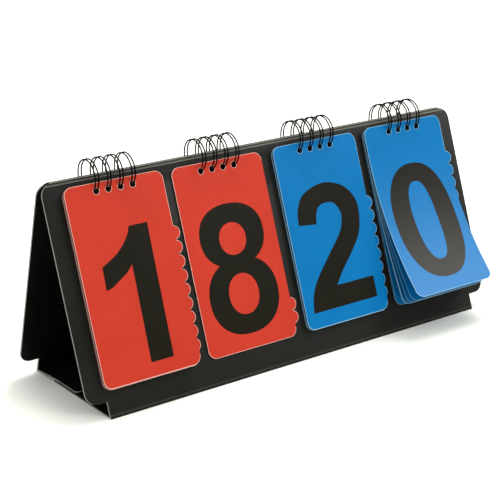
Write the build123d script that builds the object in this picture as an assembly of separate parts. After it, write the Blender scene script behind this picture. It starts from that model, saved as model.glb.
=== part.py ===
"""Tabletop flip scoreboard: a folding A-frame stand of plastic sheet that carries four
stacks of number cards on twin-loop wire bindings.

Millimetres. X runs along the stand, -Y towards the players and +Z up. The origin is on
the table, under the middle of the base.

The stand is creased from sheet: front panel, narrow spine strip, rear panel and two base
flaps. The panels narrow to necks at the floor folds, and the flaps fold in from the necks
and lap in the middle of the base, where thin hook-and-loop pads hold them.
"""

from build123d import *
import os
from math import atan, cos, pi, radians, sin, sqrt, tan

# ---------------------------------------------------------------- driving sizes: stand
stand_length = 380.0
panel_height = 169.4       # slope length from the top crease to the floor fold
lean = 18.35               # degrees between a panel and the vertical
sheet = 1.5                # thickness of the stand's sheet
spine_width = 4.7          # between the two top creases
panel_corner = 9.0         # radius of the panels' corners
neck_inset = 15.8          # how far the necks stand in from the panels' ends
neck_height = 12.9         # slope length of a neck
crease_gap = 0.05          # left between two sheets at a floor fold

# ----------------------------------------------------------- driving sizes: base joint
lap_front = 6.0            # the rear flap's edge lies this far in front of the middle
lap_ramp_end = 21.0        # the rear flap comes down to the floor behind this
under_lap = 30.0           # the front flap's edge lies this far behind the middle
flap_corner = 3.0
pad_count = 3
pad_pitch = 120.0
pad_length = 30.0
pad_width = 14.0
pad_middle = 6.0           # behind the middle of the base
pad_thickness = 0.4
pad_gap = 0.05             # between the hook pads and the loop pads

# ------------------------------------------------------------ driving sizes: bindings
ring_radius = 12.4         # to the middle of the wire
ring_drop = 0.8            # centre of the rings below the spine
wire_diameter = 1.1
wire_sides = 6             # the wire has few faces, because it makes 32 half loops
loop_steps = 20            # straight lengths in each half loop
bend_step = 45             # degrees from face to face round the small bends
twin_spacing = 2.6         # between the two wires of one loop
ring_pitch = 9.9
rings_per_stack = 4
root_bend = 1.0            # radius of the turn from a loop to the bar beside it
nose_setback = 1.6         # from the tip of a loop's nose to the bars, middle to middle

# --------------------------------------------------------------- driving sizes: cards
card_width = 80.5
card_height = 143.0
card_thickness = 0.4
card_gap = 0.1             # between two cards
seat_gap = 0.15            # between a panel and its first card
card_corner = 6.5
hole_diameter = 5.0        # in cards and panels
hole_sides = 12            # few faces, because there are 192 holes
hole_to_edge = 6.0         # hole centre to the card's upper edge
hole_distance = 12.0       # card holes below the crease, where the rings leave them there
hang_slack = 0.8           # the most that a card's holes hang below the rings
tab_radius = 5.1
tab_reach = 4.6            # how far a tab stands out of the card's side
tab_pitch = 10.3           # each number's tab is this much lower than the last
first_tab = 36.0           # card's upper edge to the tab of number 0
stack_pitch = 90.0
stacks_middle = -0.6       # with their tabs, the stacks stand central on the panel
curl_start = 26.0          # slope distance from the crease to the start of the curl

# Number that each stack shows, from the left. Smaller numbers are flipped to the back.
shown = {"red_tens": 1, "red_units": 8, "blue_tens": 2, "blue_units": 0}

# Bend radius of the cards of the last stack that curl away from the panel. Cards of one
# radius lie against each other, and the others open like a fan.
curl_radius = {0: 272.0, 1: 415.0, 2: 590.0, 3: 590.0, 4: 870.0, 5: 870.0}
curled_stack = "blue_units"
curl_overrun = 1.05        # the bent sheet is made this much longer, then cut to the outline

# -------------------------------------------------------------------- derived values
slope = radians(lean)
top_z = panel_height * cos(slope)
half_base = spine_width / 2 + panel_height * sin(slope)
neck_length = stand_length - 2 * neck_inset
spine_length = stand_length - 2 * panel_corner
lap_z = sheet + 2 * pad_thickness + pad_gap
ramp = atan(lap_z / (half_base - lap_ramp_end))
front_fold = pi / 2 - slope
rear_fold = front_fold - ramp
ring_depth = spine_width / 2 * cos(slope) + ring_drop * sin(slope)
ring_foot = ring_drop * cos(slope) - spine_width / 2 * sin(slope)
card_pitch = card_thickness + card_gap
digits = 10

# A panel's own frame: origin on the top crease, Y up the slope, Z out of the stand.
front_face = Plane(
    origin=(0, -spine_width / 2, top_z),
    x_dir=(1, 0, 0),
    z_dir=(0, -cos(slope), sin(slope)),
)


def on_front(shape):
    """The shape, made in a panel's own frame, in its place on the front panel."""
    return front_face.location * shape


def on_rear(shape):
    """The same place on the rear panel, as the mirror image."""
    return mirror(on_front(shape), about=Plane.XZ)


def along_x(section, length):
    """A section given in Y and Z, drawn out along X about the middle."""
    return extrude(Plane.YZ * section, amount=length / 2, both=True)


def spread(count, pitch):
    """Places of a row of things about its middle."""
    return [(i - (count - 1) / 2) * pitch for i in range(count)]


def ring_crossing(level):
    """Slope distance below the crease where the rings pass a sheet at this level."""
    return ring_foot + sqrt(ring_radius**2 - (ring_depth + level) ** 2)


def hole():
    """Punched hole for one loop of a binding."""
    return RegularPolygon(hole_diameter / 2, hole_sides, major_radius=False)


def save(shape, name):
    export_step(shape, f"parts/{name}.step")


# ------------------------------------------------------------------------------ stand
def panel(fold):
    """A panel with its neck and ring holes, mitred at the crease and at the floor fold."""
    body_height = panel_height - neck_height
    body = RectangleRounded(stand_length, body_height, panel_corner)
    neck = Rectangle(neck_length, panel_height / 2, align=(Align.CENTER, Align.MIN))
    outline = Pos(0, -body_height / 2) * body + Pos(0, -panel_height) * neck
    for middle in spread(len(shown), stack_pitch):
        for place in spread(rings_per_stack, ring_pitch):
            outline -= Pos(stacks_middle + middle + place, -ring_crossing(-sheet / 2)) * hole()
    plate = extrude(outline, amount=-sheet)
    section = Polygon(
        (0, 0),
        (-panel_height, 0),
        (-panel_height + sheet / tan(fold / 2), -sheet),
        (-sheet, -sheet),
        align=None,
    )
    return plate & along_x(section, stand_length)


def spine_strip():
    """The strip between the two top creases, its edges cut back at 45 degrees inside."""
    half = spine_width / 2
    section = Polygon(
        (-half, top_z),
        (half, top_z),
        (half - sheet, top_z - sheet),
        (sheet - half, top_z - sheet),
        align=None,
    )
    return along_x(section, spine_length)


def base_front_flap():
    """The flap from the front neck: flat on the table, as far as under the rear flap's ramp."""
    fold = -half_base
    mitre = sheet / tan(front_fold / 2)
    section = Polygon(
        (fold + crease_gap, 0),
        (fold + crease_gap + mitre, sheet),
        (under_lap, sheet),
        (under_lap, 0),
        align=None,
    )
    depth = half_base + under_lap
    outline = Pos(0, fold) * RectangleRounded(neck_length, 2 * depth, flap_corner)
    return along_x(section, neck_length) & extrude(outline, amount=lap_z)


def base_rear_flap():
    """The flap from the rear neck: up a shallow ramp, then flat over the front one."""
    mitre = sheet / tan(rear_fold / 2)
    inner = crease_gap + mitre
    section = Polygon(
        (half_base - crease_gap * cos(ramp), crease_gap * sin(ramp)),
        (lap_ramp_end, lap_z),
        (-lap_front, lap_z),
        (-lap_front, lap_z + sheet),
        (lap_ramp_end + sheet * tan(ramp / 2), lap_z + sheet),
        (
            half_base - inner * cos(ramp) + sheet * sin(ramp),
            inner * sin(ramp) + sheet * cos(ramp),
        ),
        align=None,
    )
    depth = half_base + lap_front
    outline = Pos(0, half_base) * RectangleRounded(neck_length, 2 * depth, flap_corner)
    return along_x(section, neck_length) & extrude(outline, amount=2 * lap_z)


def pads(bottom):
    """One side of the hook-and-loop fastening: a row of thin pads."""
    pad = Box(pad_length, pad_width, pad_thickness, align=(Align.CENTER, Align.CENTER, Align.MIN))
    row = [Pos(x, pad_middle, bottom) * pad for x in spread(pad_count, pad_pitch)]
    return Compound(children=row)


# --------------------------------------------------------------------------- bindings
def on_loop(x, angle, way):
    """Section of a loop; the angle is 0 at the back and grows over the top of the ring."""
    outward = Vector(0, cos(angle), sin(angle))
    centre = Vector(x, 0, top_z - ring_drop)
    heading = Vector(0, -sin(angle), cos(angle)) * way
    return Plane(origin=centre + outward * ring_radius, x_dir=outward, z_dir=heading)


def loop(x, start, end):
    """Sections along a loop from one angle to another."""
    way = 1 if end > start else -1
    for i in range(loop_steps + 1):
        yield on_loop(x, start + (end - start) * i / loop_steps, way)


def bend(lead, side, radius, start, end):
    """Sections round a bend, which leaves the section `lead` at angle 0 and turns to +X.

    `side` is how far the bend's centre lies from the lead along X. The first and the last
    section belong to what the bend joins and are left out.
    """
    along = Vector(1, 0, 0)
    centre = lead.origin + along * side
    steps = round((end - start) / bend_step)
    for i in range(1, steps):
        angle = radians(start + bend_step * i)
        place = centre - along * (radius * cos(angle)) + lead.z_dir * (radius * sin(angle))
        heading = along * sin(angle) + lead.z_dir * cos(angle)
        yield Plane(origin=place, x_dir=lead.x_dir, z_dir=heading)


def bar_end(lead, side):
    """Section at an end of the bar between two loops, a bend's radius past the lead."""
    along = Vector(1, 0, 0)
    place = lead.origin + along * side + lead.z_dir * root_bend
    return Plane(origin=place, x_dir=lead.x_dir, z_dir=along)


def binding(middle):
    """Four twin loops in one wire: bar, loop out, nose, loop back, next bar."""
    root = -atan(ring_radius / root_bend)
    nose_radius = twin_spacing / 2
    nose = 3 * pi / 2 - (nose_setback + nose_radius) / ring_radius
    places = spread(rings_per_stack, ring_pitch)
    sections = []
    for place in places:
        left = middle + place - nose_radius
        right = middle + place + nose_radius
        if place != places[0]:
            arrival = on_loop(left, root, -1)
            sections.append(bar_end(arrival, -root_bend))
            sections += bend(arrival, -root_bend, root_bend, 90, 180)
        sections += loop(left, root, nose)
        sections += bend(on_loop(left, nose, 1), nose_radius, nose_radius, 0, 180)
        sections += loop(right, nose, root)
        if place != places[-1]:
            departure = on_loop(right, root, -1)
            sections += bend(departure, root_bend, root_bend, 0, 90)
            sections.append(bar_end(departure, root_bend))
    wire = RegularPolygon(wire_diameter / 2, wire_sides, major_radius=False)
    return loft([section * wire for section in sections], ruled=True)


# ------------------------------------------------------------------------------ cards
def card_level(place):
    """Distance of a card's inner face from the panel; place 0 is against the panel."""
    return seat_gap + place * card_pitch


def hole_row(place):
    """Slope distance of a card's holes: even, unless the rings hold the card higher."""
    crossing = ring_crossing(card_level(place) + card_thickness / 2)
    return min(ring_foot + hole_distance, crossing + hang_slack)


def card_outline(holes, bottom, tab):
    """Rounded card with four holes and a round tab, seen square to the panel."""
    top = holes - hole_to_edge
    body = RectangleRounded(card_width, bottom - top, card_corner)
    outline = Pos(0, -(top + bottom) / 2) * body
    outline += Pos(card_width / 2 + tab_reach - tab_radius, -tab) * Circle(tab_radius)
    for x in spread(rings_per_stack, ring_pitch):
        outline -= Pos(x, -holes) * hole()
    return outline


def flat_card(number, place):
    """A card lying flat."""
    holes = hole_row(place)
    top = holes - hole_to_edge
    tab = top + first_tab + number * tab_pitch
    outline = card_outline(holes, top + card_height, tab)
    return Pos(0, 0, card_level(place)) * extrude(outline, amount=card_thickness)


def curled_card(number, place):
    """A card that bends away from the panel round a cylinder below curl_start."""
    level = card_level(place)
    radius = curl_radius[number]
    centre = level + card_thickness / 2 + radius
    back = radius + card_thickness / 2
    front = radius - card_thickness / 2
    holes = hole_row(place)
    top = holes - hole_to_edge
    turn = (top + card_height - curl_start) / radius
    past = curl_overrun * turn

    def bent(r, angle):
        """Point of the bent sheet at this radius, in the panel's Y and Z."""
        return (-curl_start - r * sin(angle), centre - r * cos(angle))

    def seen(angle):
        """Slope distance at which a place on the bend is seen square to the panel."""
        return curl_start + radius * sin(angle)

    section = make_face(
        [
            Line((0, level), bent(back, 0)),
            ThreePointArc(bent(back, 0), bent(back, past / 2), bent(back, past)),
            Line(bent(back, past), bent(front, past)),
            ThreePointArc(bent(front, past), bent(front, past / 2), bent(front, 0)),
            Line(bent(front, 0), (0, level + card_thickness)),
            Line((0, level + card_thickness), (0, level)),
        ]
    )
    tab = seen((top + first_tab + number * tab_pitch - curl_start) / radius)
    outline = card_outline(holes, seen(turn), tab)
    return along_x(section, 2 * card_width) & extrude(outline, amount=card_height / 2)


def placed_card(stack, number, middle):
    """A card in its place: in front where its number isn't flipped to the back yet."""
    shift = Pos(middle, 0, 0)
    if number < shown[stack]:
        return on_rear(shift * flat_card(number, number))
    place = digits - 1 - number
    if stack == curled_stack and number in curl_radius:
        return on_front(shift * curled_card(number, place))
    return on_front(shift * flat_card(number, place))


# ----------------------------------------------------------------------------- export
os.makedirs("parts", exist_ok=True)
save(on_front(panel(front_fold)), "front_panel")
save(on_rear(panel(rear_fold)), "rear_panel")
save(spine_strip(), "spine_strip")
save(base_front_flap(), "base_front_flap")
save(base_rear_flap(), "base_rear_flap")
save(pads(sheet), "hook_pads")
save(pads(sheet + pad_thickness + pad_gap), "loop_pads")
for name, offset in zip(shown, spread(len(shown), stack_pitch)):
    stack_x = stacks_middle + offset
    save(binding(stack_x), f"{name}_binding")
    for digit in range(digits):
        save(placed_card(name, digit, stack_x), f"{name}_card_{digit}")
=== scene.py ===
from math import atan, cos, pi, radians, sin, sqrt

import bmesh
import bpy
import numpy as np
from mathutils import Matrix, Vector
from mathutils.geometry import delaunay_2d_cdt


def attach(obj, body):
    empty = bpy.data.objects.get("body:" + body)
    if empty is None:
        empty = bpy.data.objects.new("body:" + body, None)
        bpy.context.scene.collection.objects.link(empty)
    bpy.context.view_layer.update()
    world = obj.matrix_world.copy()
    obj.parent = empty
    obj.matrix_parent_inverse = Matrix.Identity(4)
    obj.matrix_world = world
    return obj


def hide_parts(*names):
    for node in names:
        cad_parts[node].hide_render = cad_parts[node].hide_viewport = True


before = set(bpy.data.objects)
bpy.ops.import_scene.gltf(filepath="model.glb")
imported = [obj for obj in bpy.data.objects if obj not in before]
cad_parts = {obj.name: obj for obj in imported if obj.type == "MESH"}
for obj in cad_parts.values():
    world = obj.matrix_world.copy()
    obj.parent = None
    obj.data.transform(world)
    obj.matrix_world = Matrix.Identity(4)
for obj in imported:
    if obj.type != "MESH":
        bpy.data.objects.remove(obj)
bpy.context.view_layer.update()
mm = 0.001


# ---------------------------------------------------------------- camera and studio
# A long lens in front of the stand and on its left, a little above it. White paper under
# the stand, one soft lamp overhead on the right and one in front, and a third on the
# right that shows only as sheen. The room is bright overhead and dim at the horizon.
camera_place = Vector((-609.94, -839.01, 416.15)) * mm
camera_turn = radians(-35.453)
camera_tilt = radians(18.24)
camera_roll = radians(-1.256)
camera_lens = 100.73

back = Vector(
    (
        sin(camera_turn) * cos(camera_tilt),
        -cos(camera_turn) * cos(camera_tilt),
        sin(camera_tilt),
    )
)
level = (-back).cross(Vector((0, 0, 1))).normalized()
upright = back.cross(level)
across = level * cos(camera_roll) + upright * sin(camera_roll)
upward = upright * cos(camera_roll) - level * sin(camera_roll)
camera_data = bpy.data.cameras.new("camera")
camera_data.lens = camera_lens
camera_data.sensor_width = 36
camera = bpy.data.objects.new("camera", camera_data)
camera.matrix_world = Matrix.Translation(camera_place) @ Matrix(
    (across, upward, back)
).transposed().to_4x4()
bpy.context.scene.collection.objects.link(camera)
bpy.context.scene.camera = camera
bpy.context.scene.view_settings.view_transform = "Standard"


def shader_tree(name):
    """A new material, with its node tree and its Principled shader."""
    material = bpy.data.materials.new(name)
    material.use_nodes = True
    tree = material.node_tree
    shader = next(n for n in tree.nodes if n.type == "BSDF_PRINCIPLED")
    return material, tree, shader


def node(tree, kind, values=(), **settings):
    """A node of the given kind, with settings, and values or links for its inputs."""
    made = tree.nodes.new(kind)
    for key, value in settings.items():
        setattr(made, key, value)
    for key, value in dict(values).items():
        if isinstance(value, bpy.types.NodeSocket):
            tree.links.new(value, made.inputs[key])
        else:
            made.inputs[key].default_value = value
    return made


def ranged(tree, value, low, high, start, end, **settings):
    """The value carried from the span low to high onto the span start to end."""
    spans = {"From Min": low, "From Max": high, "To Min": start, "To Max": end}
    return node(tree, "ShaderNodeMapRange", {"Value": value, **spans}, **settings).outputs[0]


def reckoned(tree, operation, first, second=0.0):
    """The result of one operation on one or two numbers or sockets."""
    return node(tree, "ShaderNodeMath", {0: first, 1: second}, operation=operation).outputs[0]


def coordinates(tree):
    """Places on the piece, in metres."""
    return node(tree, "ShaderNodeTexCoord").outputs["Object"]


def soft_lamp(name, place, target, size, watts):
    """A round area lamp that faces the target."""
    data = bpy.data.lights.new(name, "AREA")
    data.shape = "DISK"
    data.size = size
    data.energy = watts
    lamp = bpy.data.objects.new(name, data)
    lamp.location = place
    lamp.rotation_euler = (Vector(target) - Vector(place)).to_track_quat("-Z", "Y").to_euler()
    bpy.context.scene.collection.objects.link(lamp)
    return lamp


soft_lamp("overhead_lamp", (0.5, 0.12, 1.2), (0, 0, 0.05), 0.7, 9.0)
sheen_lamp = soft_lamp("sheen_lamp", (0.84, -0.50, 1.05), (0.13, -0.1, 0.03), 0.95, 38.0)
sheen_lamp.visible_diffuse = False
players_lamp = soft_lamp("players_lamp", (0.3, -1.55, 1.0), (0, 0, 0.08), 0.8, 10.5)
players_lamp.visible_glossy = False

world = bpy.data.worlds.new("studio")
bpy.context.scene.world = world
world.use_nodes = True
sky = world.node_tree
sky.nodes.clear()
seen = node(sky, "ShaderNodeLightPath").outputs["Is Camera Ray"]
aim = node(sky, "ShaderNodeTexCoord").outputs["Generated"]
rise = node(sky, "ShaderNodeSeparateXYZ", {0: aim}).outputs["Z"]
glow = ranged(sky, rise, 0.25, 0.8, 0.12, 1.15)
strength = node(sky, "ShaderNodeMix", {"Factor": seen, "A": glow, "B": 1.0}).outputs[0]
light = node(sky, "ShaderNodeBackground", {"Color": (1, 1, 0.975, 1), "Strength": strength})
node(sky, "ShaderNodeOutputWorld", {"Surface": light.outputs[0]})

# The floor is white paper. What the camera sees of it is lifted towards white, less near
# the stand than away from it, so that only the stand's own shadow shows.
floor_half = 6.0
shadow_reach = 0.17
white_reach = 0.245
near_lift = 0.05
far_lift = 0.45
floor_mesh = bpy.data.meshes.new("floor")
floor_corners = np.array([[-1, -1, 0], [1, -1, 0], [1, 1, 0], [-1, 1, 0]]) * floor_half
floor_mesh.from_pydata(floor_corners.tolist(), [], [(0, 1, 2, 3)])
floor = bpy.data.objects.new("floor", floor_mesh)
bpy.context.scene.collection.objects.link(floor)
paper, tree, shader = shader_tree("white_paper")
shader.inputs["Base Color"].default_value = (0.90, 0.92, 0.86, 1)
shader.inputs["Roughness"].default_value = 0.9
shader.inputs["Specular IOR Level"].default_value = 0.1
shader.inputs["Emission Color"].default_value = (1, 1, 0.96, 1)
seen = node(tree, "ShaderNodeLightPath").outputs["Is Camera Ray"]
far = node(tree, "ShaderNodeVectorMath", {0: coordinates(tree)}, operation="LENGTH")
spans = (shadow_reach, white_reach, near_lift, far_lift)
gain = ranged(tree, far.outputs["Value"], *spans, interpolation_type="SMOOTHSTEP")
tree.links.new(reckoned(tree, "MULTIPLY", seen, gain), shader.inputs["Emission Strength"])
floor_mesh.materials.append(paper)


# ---------------------------------------------------------------------------- stand
# One stand of black plastic sheet with a fine leather grain, creased at the spine and at
# the two floor folds. Its creases and cut edges carry a painted highlight, the inside of
# the tent painted shade, and its folds are rounded.
def linear(red, green, blue):
    """Colour for a shader from the 0 to 255 values that it should be seen as."""
    channels = np.array([red, green, blue]) / 255
    bright = ((channels + 0.055) / 1.055) ** 2.4
    return (*np.where(channels > 0.04045, bright, channels / 12.92).tolist(), 1.0)


lean = radians(18.35)
fold_round = 0.45 * mm
grain_size = 0.9 * mm
grain_depth = 0.12 * mm
face_colour = linear(24, 25, 21)
# Painted shade: the darker colour given to the sheet's back inside the tent.
inside_shade_colour = linear(9, 9, 7)
# Painted highlight: the colour given to the rounded creases where they catch the overhead light.
crease_highlight_colour = linear(106, 103, 94)
# Painted highlight: the pale colour given to the black sheet's cut edges.
edge_highlight_colour = linear(158, 160, 156)
cut_edge_reach = 0.25
highlight_reach = 1.7 * mm
crease_line = 0.5 * mm
floor_crease = 2.2 * mm
floor_crease_highlight = 0.22
spine_width = 4.7 * mm
spine_height = 169.4 * mm * cos(lean)


def crease_highlight(tree, place, floor_highlight):
    """Share of painted crease highlight, for the light that the rounded creases catch: 1 above
    the depth `highlight_reach` below the top crease, but for a dark line of the width
    crease_line on either side of each crease. The rear crease and the quarter of the strip
    beside it get no painted highlight. Just above the floor folds a fainter painted
    highlight of the share floor_highlight shows.
    """
    axes = node(tree, "ShaderNodeSeparateXYZ", {0: place}).outputs
    depth = reckoned(tree, "SUBTRACT", spine_height, axes["Z"])
    near = ranged(tree, depth, highlight_reach, 1.3 * highlight_reach, 1.0, 0.0)
    side = reckoned(tree, "ABSOLUTE", axes["Y"])
    apart = reckoned(tree, "ABSOLUTE", reckoned(tree, "SUBTRACT", side, spine_width / 2))
    clear = ranged(tree, apart, 0.5 * crease_line, crease_line, 0.0, 1.0)
    ahead = ranged(tree, axes["Y"], 0.2 * spine_width, 0.3 * spine_width, 1.0, 0.0)
    strip = reckoned(tree, "MULTIPLY", near, ahead)
    top = reckoned(tree, "MULTIPLY", strip, clear)
    off = reckoned(tree, "ABSOLUTE", reckoned(tree, "SUBTRACT", axes["Z"], floor_crease))
    low = ranged(tree, off, 0.5 * crease_line, 1.4 * crease_line, floor_highlight, 0.0)
    return reckoned(tree, "MAXIMUM", top, low)


def mottle(tree, place, scale, detail, roughness=0.5):
    """Soft noise from 0 to 1, with about `scale` spots to the metre."""
    values = {"Vector": place, "Scale": scale, "Detail": detail, "Roughness": roughness}
    return node(tree, "ShaderNodeTexNoise", values).outputs["Fac"]


def toned(tree, shader, colour, tone):
    """Gives the shader the colour times the tone."""
    values = {"Factor": 1.0, "A": colour, "B": tone}
    mixed = node(tree, "ShaderNodeMix", values, data_type="RGBA", blend_type="MULTIPLY")
    tree.links.new(mixed.outputs["Result"], shader.inputs["Base Color"])


def bumpy(tree, shader, height, strength, depth):
    """Gives the shader bumps from a height of 0 to 1, of the given depth."""
    values = {"Strength": strength, "Distance": depth, "Height": height}
    bump = node(tree, "ShaderNodeBump", values)
    tree.links.new(bump.outputs[0], shader.inputs["Normal"])


def grained_black(name, base, floor_highlight):
    """Black sheet: grain from two noises, a faint cloudy change of colour, and a painted
    highlight at the creases.
    """
    material, tree, shader = shader_tree(name)
    place = coordinates(tree)
    cells = {"Vector": place, "Scale": 1 / grain_size}
    fine = node(tree, "ShaderNodeTexVoronoi", cells, feature="SMOOTH_F1").outputs["Distance"]
    coarse = mottle(tree, place, 140.0, 4.0)
    bumpy(tree, shader, reckoned(tree, "ADD", fine, coarse), 0.35, grain_depth)
    cloud = mottle(tree, place, 22.0, 5.0)
    # The painted crease highlight is mixed into the face colour here.
    pale = {"Factor": crease_highlight(tree, place, floor_highlight), "A": base, "B": crease_highlight_colour}
    creased = node(tree, "ShaderNodeMix", pale, data_type="RGBA").outputs["Result"]
    toned(tree, shader, creased, ranged(tree, cloud, 0.3, 0.7, 0.82, 1.2))
    rough = ranged(tree, fine, 0.0, 1.0, 0.5, 0.68)
    tree.links.new(rough, shader.inputs["Roughness"])
    shader.inputs["Specular IOR Level"].default_value = 0.12
    return material


def cut_edge(name, colour, streaks):
    """Cut edge of a sheet: matt, with fine streaks left by the die, in the pale or dark colour
    given to it as painted highlight or painted shade.
    """
    material, tree, shader = shader_tree(name)
    lines = mottle(tree, coordinates(tree), streaks, 3.0)
    toned(tree, shader, colour, ranged(tree, lines, 0.3, 0.7, 0.8, 1.15))
    bumpy(tree, shader, lines, 0.3, 0.05 * mm)
    shader.inputs["Roughness"].default_value = 0.6
    shader.inputs["Specular IOR Level"].default_value = 0.3
    return material


sheet_face = grained_black("black_grained_sheet", face_colour, floor_crease_highlight)
# The sheet's back carries painted shade.
shaded_sheet_back = grained_black("black_sheet_painted_shade", inside_shade_colour, 0.0)
# The sheet's cut edges carry a painted highlight.
lit_sheet_rim = cut_edge("sheet_painted_highlight_edge", edge_highlight_colour, 900.0)


def rounded_sheet(name, body, outward):
    """The solid's own shape with its edges rounded, faces black and cut edges pale with a
    painted highlight.

    A face belongs to a cut edge when it stands square to the sheet, that is when its
    normal is nearly at right angles to the outward direction. One that faces against
    that direction is the sheet's back, given a darker colour as painted shade inside the tent.
    """
    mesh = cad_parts[name].data.copy()
    mesh.materials.clear()
    mesh.materials.append(sheet_face)
    mesh.materials.append(lit_sheet_rim)
    mesh.materials.append(shaded_sheet_back)
    shape = bmesh.new()
    shape.from_mesh(mesh)
    bmesh.ops.remove_doubles(shape, verts=shape.verts, dist=1e-6)
    bmesh.ops.dissolve_limit(shape, angle_limit=radians(1), verts=shape.verts, edges=shape.edges)
    facing = Vector(outward)
    for face in shape.faces:
        turn = face.normal.dot(facing)
        face.material_index = 1 if abs(turn) < cut_edge_reach else 2 * int(turn < 0)
        face.smooth = True
    shape.to_mesh(mesh)
    shape.free()
    piece = bpy.data.objects.new(name.replace("panel", "panel_sheet") + "_rounded", mesh)
    bpy.context.scene.collection.objects.link(piece)
    bevel = piece.modifiers.new("fold_round", "BEVEL")
    bevel.width = fold_round
    bevel.segments = 3
    bevel.limit_method = "ANGLE"
    bevel.angle_limit = radians(40)
    bevel.harden_normals = True
    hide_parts(name)
    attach(piece, body)
    return piece


rounded_sheet("front_panel", "front_panel", (0, -cos(lean), sin(lean)))
rounded_sheet("rear_panel", "rear_panel", (0, cos(lean), sin(lean)))
rounded_sheet("spine_strip", "spine", (0, 0, 1))
rounded_sheet("base_front_flap", "front_flap", (0, 0, -1))
rounded_sheet("base_rear_flap", "rear_flap", (0, 0, -1))


# ---------------------------------------------------------------------- fastening
# Self-gripping pads in the lap of the base: hooks glued on the front flap and loops
# under the rear one. They are woven tape, so each has a nap instead of a smooth face.
def woven_tape(name, colour, weave):
    """Woven nap: a fine cell pattern for the tufts, over a darker ground."""
    material, tree, shader = shader_tree(name)
    tufts = {"Vector": coordinates(tree), "Scale": weave}
    height = node(tree, "ShaderNodeTexVoronoi", tufts).outputs["Distance"]
    toned(tree, shader, colour, ranged(tree, height, 0.0, 1.0, 1.4, 0.4))
    bumpy(tree, shader, height, 0.9, 0.3 * mm)
    shader.inputs["Roughness"].default_value = 0.9
    shader.inputs["Sheen Weight"].default_value = 0.2
    return material


def give(name, material):
    """Puts a material on a solid that keeps its own shape."""
    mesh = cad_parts[name].data
    mesh.materials.clear()
    mesh.materials.append(material)


give("hook_pads", woven_tape("hook_tape", linear(34, 34, 36), 1600.0))
give("loop_pads", woven_tape("loop_tape", linear(44, 44, 46), 1100.0))


# ------------------------------------------------------------------------ bindings
# Twin-loop wire bindings: each is one black-coated steel wire, bent into four pairs of
# loops joined by short bars, closed round the panels and the cards after threading.
ring_radius = 12.4 * mm
ring_drop = 0.8 * mm
ring_centre = spine_height - ring_drop
wire_radius = 0.55 * mm
twin_spacing = 2.6 * mm
ring_pitch = 9.9 * mm
root_bend = 1.0 * mm
nose_setback = 1.6 * mm
stack_pitch = 90.0 * mm
stacks_middle = -0.6 * mm
stacks = {"red_tens": 1, "red_units": 8, "blue_tens": 2, "blue_units": 0}
ring_places = (np.arange(4) - 1.5) * ring_pitch
loop_points = 60
wire_points = 14


def loop_stations(x, start, end):
    """Stations on a loop: x, then the circle's point, its heading and its outward side."""
    angle = np.linspace(start, end, loop_points)
    way = np.sign(end - start)
    zero = np.zeros_like(angle)
    outward = np.stack([zero, np.cos(angle), np.sin(angle)], 1)
    place = outward * ring_radius + [x, 0, ring_centre]
    heading = np.stack([zero, -np.sin(angle), np.cos(angle)], 1) * way
    return place, heading, outward


def bend_stations(place, heading, outward, side, radius, start, end):
    """Stations round a bend whose centre lies `side` along X from the given station.

    The angle is 0 at that station, and the wire turns from its heading towards +X.
    """
    angle = np.radians(np.linspace(start, end, 9))[:, None]
    along = np.array([1.0, 0, 0])
    centre = place + along * side
    places = centre - along * radius * np.cos(angle) + heading * radius * np.sin(angle)
    headings = along * np.sin(angle) + heading * np.cos(angle)
    return places, headings, np.repeat(outward[None], len(angle), 0)


def binding_stations(middle):
    """The whole wire of one binding, as places, headings and outward sides."""
    root = -atan(ring_radius / root_bend)
    nose_radius = twin_spacing / 2
    nose = 1.5 * pi - (nose_setback + nose_radius) / ring_radius
    parts = []
    for place in ring_places:
        left = middle + place - nose_radius
        right = middle + place + nose_radius
        out = loop_stations(left, root, nose)
        home = loop_stations(right, nose, root)
        if parts:
            spot, heading, outward = (values[0] for values in out)
            bend = (spot, -heading, outward, -root_bend, root_bend, 90, 180)
            parts.append(bend_stations(*bend))
        tip = [values[-1] for values in out]
        parts += [out, bend_stations(*tip, nose_radius, nose_radius, 0, 180), home]
        if place != ring_places[-1]:
            foot = [values[-1] for values in home]
            parts.append(bend_stations(*foot, root_bend, root_bend, 0, 90))
    return [np.concatenate(values) for values in zip(*parts)]


def wire_mesh(name, places, headings, outward):
    """A round wire: at each station a circle of wire_radius, square to the heading.

    The circle is radius * (cos v * outward + sin v * heading x outward). Three more
    circles that shrink along a quarter round close each end.
    """
    cap = np.radians([30.0, 60.0, 88.0])[:, None]
    stand_out = wire_radius * np.sin(cap) * 0.5
    first = places[:1] - headings[:1] * stand_out[::-1]
    last = places[-1:] + headings[-1:] * stand_out
    scale = np.concatenate([np.cos(cap)[::-1, 0], np.ones(len(places)), np.cos(cap)[:, 0]])
    places = np.concatenate([first, places, last])
    headings, outward = (
        np.concatenate([values[:1].repeat(3, 0), values, values[-1:].repeat(3, 0)])
        for values in (headings, outward)
    )
    side = np.cross(headings, outward)
    v = np.linspace(0, 2 * pi, wire_points, endpoint=False)[None, :, None]
    ring = np.cos(v) * outward[:, None] + np.sin(v) * side[:, None]
    return tube_mesh(name, places[:, None] + ring * wire_radius * scale[:, None, None])


def tube_mesh(name, points):
    """A tube of quads over a grid of points, with a face across each end."""
    rows, columns = points.shape[:2]
    index = np.arange(rows * columns).reshape(rows, columns)
    turn = np.concatenate([index, index[:, :1]], 1)
    quads = np.stack([turn[:-1, :-1], turn[:-1, 1:], turn[1:, 1:], turn[1:, :-1]], -1)
    faces = quads.reshape(-1, 4).tolist() + [index[0, ::-1].tolist(), index[-1].tolist()]
    mesh = bpy.data.meshes.new(name)
    mesh.from_pydata(points.reshape(-1, 3).tolist(), [], faces)
    mesh.polygons.foreach_set("use_smooth", np.ones(len(faces), bool))
    mesh.update()
    return mesh


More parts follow.
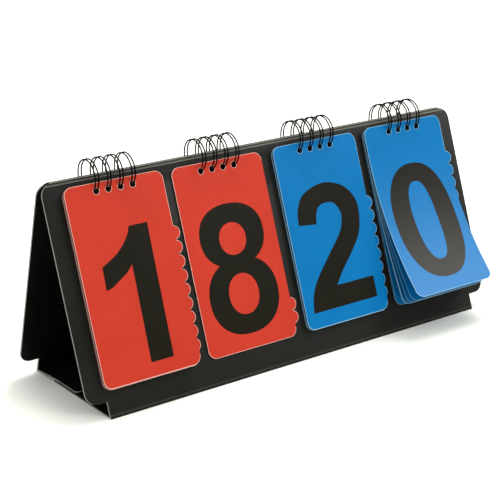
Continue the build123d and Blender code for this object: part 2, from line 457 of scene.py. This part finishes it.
def coated_wire():
    """Black nylon coat on steel: smooth, with a slight orange peel."""
    material, tree, shader = shader_tree("black_coated_wire")
    peel = mottle(tree, coordinates(tree), 1500.0, 2.0)
    toned(tree, shader, linear(5, 5, 4), ranged(tree, peel, 0.0, 1.0, 0.8, 1.2))
    bumpy(tree, shader, peel, 0.15, 0.04 * mm)
    shader.inputs["Roughness"].default_value = 0.5
    shader.inputs["Specular IOR Level"].default_value = 0.06
    return material


wire_coat = coated_wire()
stack_middles = dict(zip(stacks, (np.arange(4) - 1.5) * stack_pitch + stacks_middle))
for stack, middle in stack_middles.items():
    mesh = wire_mesh(f"{stack}_wire", *binding_stations(middle))
    mesh.materials.append(wire_coat)
    wire = bpy.data.objects.new(f"{stack}_wire", mesh)
    bpy.context.scene.collection.objects.link(wire)
    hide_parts(f"{stack}_binding")
    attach(wire, f"{stack}_binding")


# --------------------------------------------------------------------------- cards
# Number cards of printed plastic sheet, 0.4 mm thick, die-cut with round corners, four
# holes and a finger tab. The colour is printed; the cut edges carry a painted highlight
# on some cards and painted shade on the others, and a thin margin round the print
# carries a painted highlight.
card_width = 80.5 * mm
card_height = 143.0 * mm
card_thickness = 0.4 * mm
card_pitch = 0.5 * mm
seat_gap = 0.15 * mm
card_corner = 6.5 * mm
hole_radius = 2.5 * mm
hole_to_edge = 6.0 * mm
hole_distance = 12.0 * mm
hang_slack = 0.8 * mm
tab_radius = 5.1 * mm
tab_reach = 4.6 * mm
tab_pitch = 10.3 * mm
first_tab = 36.0 * mm
curl_start = 26.0 * mm
curl_radius = {0: 272.0, 1: 415.0, 2: 590.0, 3: 590.0, 4: 870.0, 5: 870.0}
curled_stack = "blue_units"
ring_depth = spine_width / 2 * cos(lean) + ring_drop * sin(lean)
ring_foot = ring_drop * cos(lean) - spine_width / 2 * sin(lean)
row_spacing = 3.0 * mm
margin = 0.3 * mm
hole_margin = 0.22 * mm
# Offsets from the shown card whose rims get the painted highlight; the other cards' rims get
# painted shade.
lit_rim_offsets = (0, 4, 5)


def card_top(place):
    """Slope distance of a card's upper edge below the crease.

    The rings pass the card at sqrt(radius^2 - depth^2) below their middle. The card hangs
    even with its stack, unless that would take its holes past the rings' reach.
    """
    depth = ring_depth + seat_gap + place * card_pitch + card_thickness / 2
    crossing = ring_foot + sqrt(ring_radius**2 - depth**2)
    return min(ring_foot + hole_distance, crossing + hang_slack) - hole_to_edge


def arc(centre_x, centre_y, radius, start, end, count):
    """Points on an arc, in degrees, with both ends."""
    angle = np.radians(np.linspace(start, end, count))
    return np.stack([centre_x + radius * np.cos(angle), centre_y + radius * np.sin(angle)], 1)


def card_outline(number, top):
    """Outline of a card in X and distance down the sheet, anticlockwise seen from behind.

    Four quarter circles at the corners, and the tab's circle where it stands out of the
    side: it leaves the side at the angle whose cosine is (side - centre) / radius.
    """
    half = card_width / 2
    reach = half - card_corner
    bottom = top + card_height
    tab_x = half + tab_reach - tab_radius
    tab_y = top + first_tab + number * tab_pitch
    swing = np.degrees(np.arccos((half - tab_x) / tab_radius))
    low = min(swing, 90.0)
    parts = [
        arc(-reach, top + card_corner, card_corner, 180, 270, 12),
        arc(reach, top + card_corner, card_corner, 270, 360, 12),
        arc(tab_x, tab_y, tab_radius, -swing, swing, 24),
        arc(reach, bottom - card_corner, card_corner, 0, 90, 12),
        arc(-reach, bottom - card_corner, card_corner, 90, 180, 12),
    ]
    outline = np.concatenate(parts)
    if tab_y + tab_radius * sin(radians(low)) > bottom - card_corner:
        outline = merged_tab(parts, tab_x, tab_y, reach, bottom)
    return outline


def merged_tab(parts, tab_x, tab_y, reach, bottom):
    """Outline where the tab runs into the lower corner: each keeps what lies outside."""
    tab, corner = parts[2], parts[3]
    centre = np.array([reach, bottom - card_corner])
    outside = (np.hypot(*(tab - centre).T) > card_corner) | (tab[:, 1] < centre[1])
    clear = np.hypot(*(corner - [tab_x, tab_y]).T) > tab_radius
    return np.concatenate([parts[0], parts[1], tab[outside], corner[clear], parts[4]])


def divided(loop, step):
    """The closed loop with its long sides cut into equal parts no longer than the step."""
    parts = []
    for start, end in zip(loop, np.roll(loop, -1, 0)):
        count = max(1, int(np.ceil(np.hypot(*(end - start)) / step)))
        share = np.arange(count)[:, None] / count
        parts.append(start * (1 - share) + end * share)
    return np.concatenate(parts)


def inset(loop, width):
    """The closed loop moved inwards (to the right of its run) by the width."""
    along = np.roll(loop, -1, 0) - np.roll(loop, 1, 0)
    along /= np.hypot(*along.T)[:, None]
    return loop + np.stack([-along[:, 1], along[:, 0]], 1) * width


def bent(points, height, radius):
    """Points of a flat sheet (x, distance down) laid on the card's curl, at a height.

    Below curl_start the middle of the sheet runs round a circle of the given radius, whose
    centre is in front: distance s past the start becomes the angle s / radius.
    """
    x, down = points[:, 0], points[:, 1]
    if radius is None:
        return np.stack([x, -down, np.zeros_like(x) + height], 1)
    angle = np.maximum(down - curl_start, 0) / radius
    near = radius - height
    seen = np.where(angle > 0, curl_start + near * np.sin(angle), down)
    lift = np.where(angle > 0, radius - near * np.cos(angle), height)
    return np.stack([x, -seen, lift], 1)


def on_panel(points, middle, level, rear):
    """Panel coordinates (x, up the slope, out) to the object's own, front or rear."""
    x, up, out = points.T
    out = out + level
    y = -spine_width / 2 + up * sin(lean) - out * cos(lean)
    z = spine_height + up * cos(lean) + out * sin(lean)
    return np.stack([x + middle, -y if rear else y, z], 1)


def card_mesh(name, number, place, middle, rear, radius):
    """A card: two triangulated faces on the curl and a strip of quads round each edge.

    The print stops a margin short of the outline and of the holes, where a painted
    highlight of the edge takes its place, but runs to the edge between the tabs.
    """
    top = card_top(place)
    outline = card_outline(number, top)
    loops = [divided(outline, row_spacing) if radius else outline]
    holes = [(x, top + hole_to_edge) for x in ring_places]
    loops += [arc(x, y, hole_radius, 360, 0, 25)[:-1] for x, y in holes]
    cut = sum(len(values) for values in loops)
    loops += [inset(loops[0], margin)] + [inset(values, hole_margin) for values in loops[1:]]
    flat = np.concatenate(loops)
    starts = np.cumsum([0] + [len(values) for values in loops])
    edges = []
    for start, end in zip(starts[:-1], starts[1:]):
        index = np.arange(start, end)
        edges += np.stack([index, np.roll(index, -1)], 1).tolist()
    rims = [edge for edge in edges if edge[0] < cut]
    if radius:
        rows = np.arange(curl_start, top + card_height - 3 * mm, row_spacing)
        grid_x, grid_y = np.meshgrid(np.linspace(-0.46, 0.46, 9) * card_width, rows)
        inside = np.stack([grid_x.ravel(), grid_y.ravel()], 1)
        flat = np.concatenate([flat, inside])
    scale = 1 / card_width
    outer_face = [list(range(starts[1]))]
    result = delaunay_2d_cdt([Vector(p) for p in flat * scale], edges, outer_face, 1, 1e-7)
    flat = np.array([tuple(p) for p in result[0]]) / scale
    origin = {old: new for new, olds in enumerate(result[3]) for old in olds}
    triangles = np.array(result[2])
    centre = flat[triangles].mean(1)
    punched = np.zeros(len(triangles), bool)
    for x, y in holes:
        punched |= np.hypot(centre[:, 0] - x, centre[:, 1] - y) < hole_radius * 0.97
    triangles, centre = triangles[~punched], centre[~punched]
    half = card_thickness / 2
    level = seat_gap + place * card_pitch + half
    outer = on_panel(bent(flat, half, radius), middle, level, rear)
    inner = on_panel(bent(flat, -half, radius), middle, level, rear)
    count = len(flat)
    rim = np.array([[origin[a], origin[b]] for a, b in rims])
    # Triangles at the outline and the holes form the margin, which gets the painted edge
    # highlight.
    lit_margin = np.isin(triangles, list({origin[i] for i in range(cut)})).any(1)
    across, down = centre.T
    under_tabs = (down > top + first_tab) & (down < top + card_height - card_corner)
    lit_margin &= ~(under_tabs & (np.abs(across - card_width / 2 + margin / 2) < margin))
    walls = np.stack([rim[:, 0], rim[:, 1], rim[:, 1] + count, rim[:, 0] + count], 1)
    shape = bmesh.new()
    points = [shape.verts.new(p) for p in np.concatenate([outer, inner]).tolist()]
    sides = ((0, triangles[~lit_margin]), (3, triangles[lit_margin]), (1, triangles + count), (2, walls))
    for slot, faces in sides:
        for face in faces.tolist():
            made = shape.faces.new([points[i] for i in face])
            made.material_index = slot
            made.smooth = slot != 2
    loose = [v for v in shape.verts if not v.link_faces]
    bmesh.ops.delete(shape, geom=loose, context="VERTS")
    bmesh.ops.recalc_face_normals(shape, faces=shape.faces)
    for edge in shape.edges:
        edge.smooth = len({f.material_index == 2 for f in edge.link_faces}) == 1
    mesh = bpy.data.meshes.new(name)
    shape.to_mesh(mesh)
    shape.free()
    return mesh


def printed_plastic(name, colour, gloss):
    """Printed sheet: satin, with faint cloudiness in the ink and a fine orange peel."""
    material, tree, shader = shader_tree(name)
    place = coordinates(tree)
    cloud = mottle(tree, place, 28.0, 6.0, 0.65)
    toned(tree, shader, colour, ranged(tree, cloud, 0.3, 0.7, 0.93, 1.06))
    bumpy(tree, shader, mottle(tree, place, 900.0, 2.0), 0.12, 0.05 * mm)
    rough = ranged(tree, cloud, 0.0, 1.0, gloss - 0.04, gloss + 0.06)
    tree.links.new(rough, shader.inputs["Roughness"])
    shader.inputs["Specular IOR Level"].default_value = 0.09
    return material


print_colours = {"red": linear(196, 57, 40), "blue": linear(0, 112, 176)}
back_colours = {"red": linear(196, 52, 38), "blue": linear(6, 104, 176)}
# Rim colours: pale for painted highlight, dark for painted shade between the cards.
lit_rim_colours = {"red": linear(242, 188, 178), "blue": linear(140, 192, 222)}
shaded_rim_colours = {"red": linear(58, 22, 17), "blue": linear(22, 42, 64)}
prints, backs, lit_rims, shaded_rims = {}, {}, {}, {}
for hue in print_colours:
    prints[hue] = printed_plastic(f"{hue}_print", print_colours[hue], 0.4)
    backs[hue] = printed_plastic(f"{hue}_back", back_colours[hue], 0.45)
    lit_rims[hue] = cut_edge(f"{hue}_card_edge_highlight", lit_rim_colours[hue], 1200.0)
    shaded_rims[hue] = cut_edge(f"{hue}_card_edge_shade", shaded_rim_colours[hue], 1200.0)


# The numbers are printed in black ink, as heavy upright figures 97 mm tall. Each is drawn
# from bands between two edges, and lies on its card as a skin of ink.
figure_height = 97.4
ink_lift = 0.012 * mm
figure_top = 34.6
edge_samples = 97
band_samples = 9


def smooth_line(points, count=edge_samples):
    """A smooth line through the points, by a Catmull-Rom curve on even parameters."""
    points = np.array(points, float)
    if len(points) == 2:
        share = np.linspace(0, 1, count)[:, None]
        return points[0] * (1 - share) + points[1] * share
    before, after = 2 * points[0] - points[1], 2 * points[-1] - points[-2]
    padded = np.concatenate([[before], points, [after]])
    t = np.linspace(0, len(points) - 1, count)
    i = np.minimum(t.astype(int), len(points) - 2)
    f = (t - i)[:, None]
    a, b, c, d = (padded[i + k] for k in range(4))
    square, cube = 2 * a - 5 * b + 4 * c - d, 3 * b - a - 3 * c + d
    return 0.5 * (2 * b + (c - a) * f + square * f**2 + cube * f**3)


def band(first, second):
    """The area between two edges, as a grid from one to the other."""
    share = np.linspace(0, 1, band_samples)[None, :, None]
    return smooth_line(first)[:, None] * (1 - share) + smooth_line(second)[:, None] * share


def oval(x, y, width, height, power):
    """A superellipse: |x / width|^power + |y / height|^power = 1."""
    angle = np.linspace(0, 2 * pi, 2 * edge_samples)
    c, s = np.cos(angle), np.sin(angle)
    px = x + width * np.sign(c) * np.abs(c) ** (2 / power)
    py = y + height * np.sign(s) * np.abs(s) ** (2 / power)
    return np.stack([px, py], 1)


def oval_band(outer, inner):
    """The area between two superellipses with the same sense."""
    share = np.linspace(0, 1, band_samples)[None, :, None]
    return oval(*outer)[:, None] * (1 - share) + oval(*inner)[:, None] * share


def turned(bands):
    """The figure turned half way round its middle."""
    return [np.stack([-b[..., 0], figure_height - b[..., 1]], -1) for b in bands]


def figure(number):
    """The bands of a number, in millimetres right of the card's middle and down."""
    if number == 0:
        return [oval_band((0, 48.6, 31.8, 48.7, 2.35), (0, 48.4, 12.2, 33.4, 2.5))]
    if number == 1:
        return [
            band([(-22.8, 24.6), (-10.2, 17.9), (-2.3, 11.1), (2.4, 4.9), (4.4, 0)],
                 [(-23.4, 41.3), (-17.8, 39.8), (-11.4, 36.2), (-4.7, 32.2), (0.8, 27.1)]),
            band([(4.4, 0), (0.8, 27.1)], [(19.8, 0), (19.4, 27.1)]),
            band([(0.8, 27.1), (-0.3, 98)], [(19.4, 27.1), (18.6, 98)]),
        ]
    if number == 2:
        return [
            band([(-30.4, 28), (-28, 15.5), (-19.5, 4.6), (0, -0.6), (17.3, 4.1),
                  (27.2, 14.2), (29.8, 25.8), (26.1, 42.7), (16.1, 55.9), (4.1, 68),
                  (-0.8, 73.8), (-5.3, 79.6)],
                 [(-13.3, 30), (-11.6, 22), (-7.4, 16.6), (0.4, 15), (6.6, 16.6),
                  (10.4, 21.6), (11.9, 27.7), (7.4, 39.6), (-7.5, 55.2), (-22.6, 71.2),
                  (-29.8, 83.2), (-32.6, 96.5)]),
            band([(-5.3, 79.6), (31, 79.6)], [(-32.6, 96.5), (31, 96.5)]),
        ]
    if number == 3:
        return [
            band([(-28.5, 28), (-25, 12), (-14, 2.3), (0, -0.6), (15, 2.6), (25.5, 12),
                  (27.8, 24), (23, 38), (12, 46)],
                 [(-11.5, 29.5), (-9, 20), (-5, 16), (0, 14.4), (6, 16.2), (9.8, 23),
                  (9, 31), (3, 37.6), (-6, 39.5)]),
            band([(12, 44.5), (24, 50), (30.4, 60), (31.4, 71), (27, 85.5), (15, 95.4),
                  (0, 98), (-16, 95), (-27.5, 85), (-31.5, 68)],
                 [(-6, 52.5), (5, 53.6), (11.5, 60), (13, 69), (10.4, 78.4), (5.4, 82.8),
                  (0, 84.2), (-6, 82.4), (-11, 77), (-13.5, 66.5)]),
            band([(-6, 39.5), (12, 46)], [(-6, 52.5), (12, 44.5)]),
        ]
    if number == 4:
        return [
            band([(5, 0), (-33, 60)], [(6.5, 23), (-17, 60)]),
            band([(5, 0), (6.5, 23)], [(23.5, 0), (23.5, 23)]),
            band([(6.5, 23), (6.5, 60)], [(23.5, 23), (23.5, 60)]),
            band([(-33, 60), (33, 60)], [(-33, 76), (33, 76)]),
            band([(6.5, 76), (6.5, 97.4)], [(23.5, 76), (23.5, 97.4)]),
        ]
    if number == 5:
        return [
            band([(-21.5, 0), (27.5, 0)], [(-23.5, 16), (27.5, 16)]),
            band([(-23.5, 16), (-28.2, 51)], [(-8.6, 16), (-11.5, 52)]),
            band([(-11.7, 37.4), (-2, 33.4), (8, 32.6), (20, 37), (29, 48), (31.6, 63),
                  (28, 81), (16, 94.4), (0, 98), (-17, 95), (-28, 86), (-32, 70)],
                 [(-11.5, 52), (-7, 48.6), (-1, 47.4), (6, 48.8), (11.6, 54), (13.4, 64.6),
                  (11.4, 75.6), (6, 82), (0, 84.2), (-7, 82.6), (-12, 77.4), (-14.5, 68.5)]),
        ]
    if number == 6:
        return [
            oval_band((0.6, 66, 31.2, 32.0, 2.15), (0.8, 67, 13.0, 17.4, 2.2)),
            band([(-30.4, 62), (-31, 44), (-25.6, 17.6), (-13.6, 3.4), (3, -0.6), (18, 3),
                  (27, 13), (29.6, 25)],
                 [(-17, 62), (-13.6, 46), (-10, 27), (-5, 17.4), (2, 14.2), (8, 16),
                  (11.4, 21), (12.6, 27)]),
        ]
    if number == 7:
        return [
            band([(-31, 0), (31, 0)], [(-31, 16.6), (31, 16.6)]),
            band([(11, 16.6), (-2, 35), (-12.4, 57), (-18.4, 78), (-20.5, 97.4)],
                 [(31, 16.6), (18, 33), (7, 55), (0.4, 78), (-1.8, 97.4)]),
        ]
    if number == 8:
        return [
            oval_band((0.4, 22.3, 28.6, 23.8, 2.25), (0.4, 25.1, 11.8, 12.2, 2.1)),
            oval_band((0.6, 68.3, 30.9, 28.8, 2.2), (0.5, 67.0, 13.3, 15.4, 2.1)),
        ]
    return turned(figure(6))


def figure_mesh(name, number, place, middle, rear, radius):
    """The ink of a card's number, a skin on the printed face.

    Bands that cross lie a hair above each other.
    """
    points, faces, start = [], [], 0
    top = card_top(place)
    level = seat_gap + place * card_pitch + card_thickness / 2
    side = -1 if rear else 1
    for layer, grid in enumerate(figure(number)):
        rows, columns = grid.shape[:2]
        flat = grid.reshape(-1, 2) * [side * mm, mm] + [0, top + figure_top * mm]
        height = side * (card_thickness / 2 + ink_lift * (1 + 0.3 * layer))
        points.append(on_panel(bent(flat, height, radius), middle, level, rear))
        index = start + np.arange(rows * columns).reshape(rows, columns)
        corners = (index[:-1, :-1], index[1:, :-1], index[1:, 1:], index[:-1, 1:])
        faces.append(np.stack(corners, -1).reshape(-1, 4))
        start += rows * columns
    mesh = bpy.data.meshes.new(name)
    mesh.from_pydata(np.concatenate(points).tolist(), [], np.concatenate(faces).tolist())
    mesh.polygons.foreach_set("use_smooth", np.ones(len(mesh.polygons), bool))
    wanted = Vector((0, -1, 0.3)) if not rear else Vector((0, -1, -0.3))
    if sum(p.normal.dot(wanted) * p.area for p in mesh.polygons) < 0:
        mesh.flip_normals()
    mesh.update()
    return mesh


ink = printed_plastic("black_ink", linear(24, 22, 13), 0.4)
for stack, shown in stacks.items():
    hue = stack.split("_")[0]
    for number in range(10):
        rear = number < shown
        place = number if rear else 9 - number
        curled = stack == curled_stack and number in curl_radius
        radius = curl_radius[number] * mm if curled else None
        name = f"{stack}_card_{number}"
        spot = (number, place, stack_middles[stack], rear, radius)
        mesh = card_mesh(f"{name}_sheet", *spot)
        # Painted highlight on the rims of some cards, painted shade on the others; slot 3, the
        # margin round the print, always gets the painted highlight.
        rims = lit_rims if abs(number - shown) in lit_rim_offsets else shaded_rims
        for material in (prints[hue], backs[hue], rims[hue], lit_rims[hue]):
            mesh.materials.append(material)
        card = bpy.data.objects.new(mesh.name, mesh)
        mesh = figure_mesh(f"{name}_figure", *spot)
        mesh.materials.append(ink)
        print_skin = bpy.data.objects.new(mesh.name, mesh)
        for piece in (card, print_skin):
            bpy.context.scene.collection.objects.link(piece)
            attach(piece, name)
        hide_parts(name)
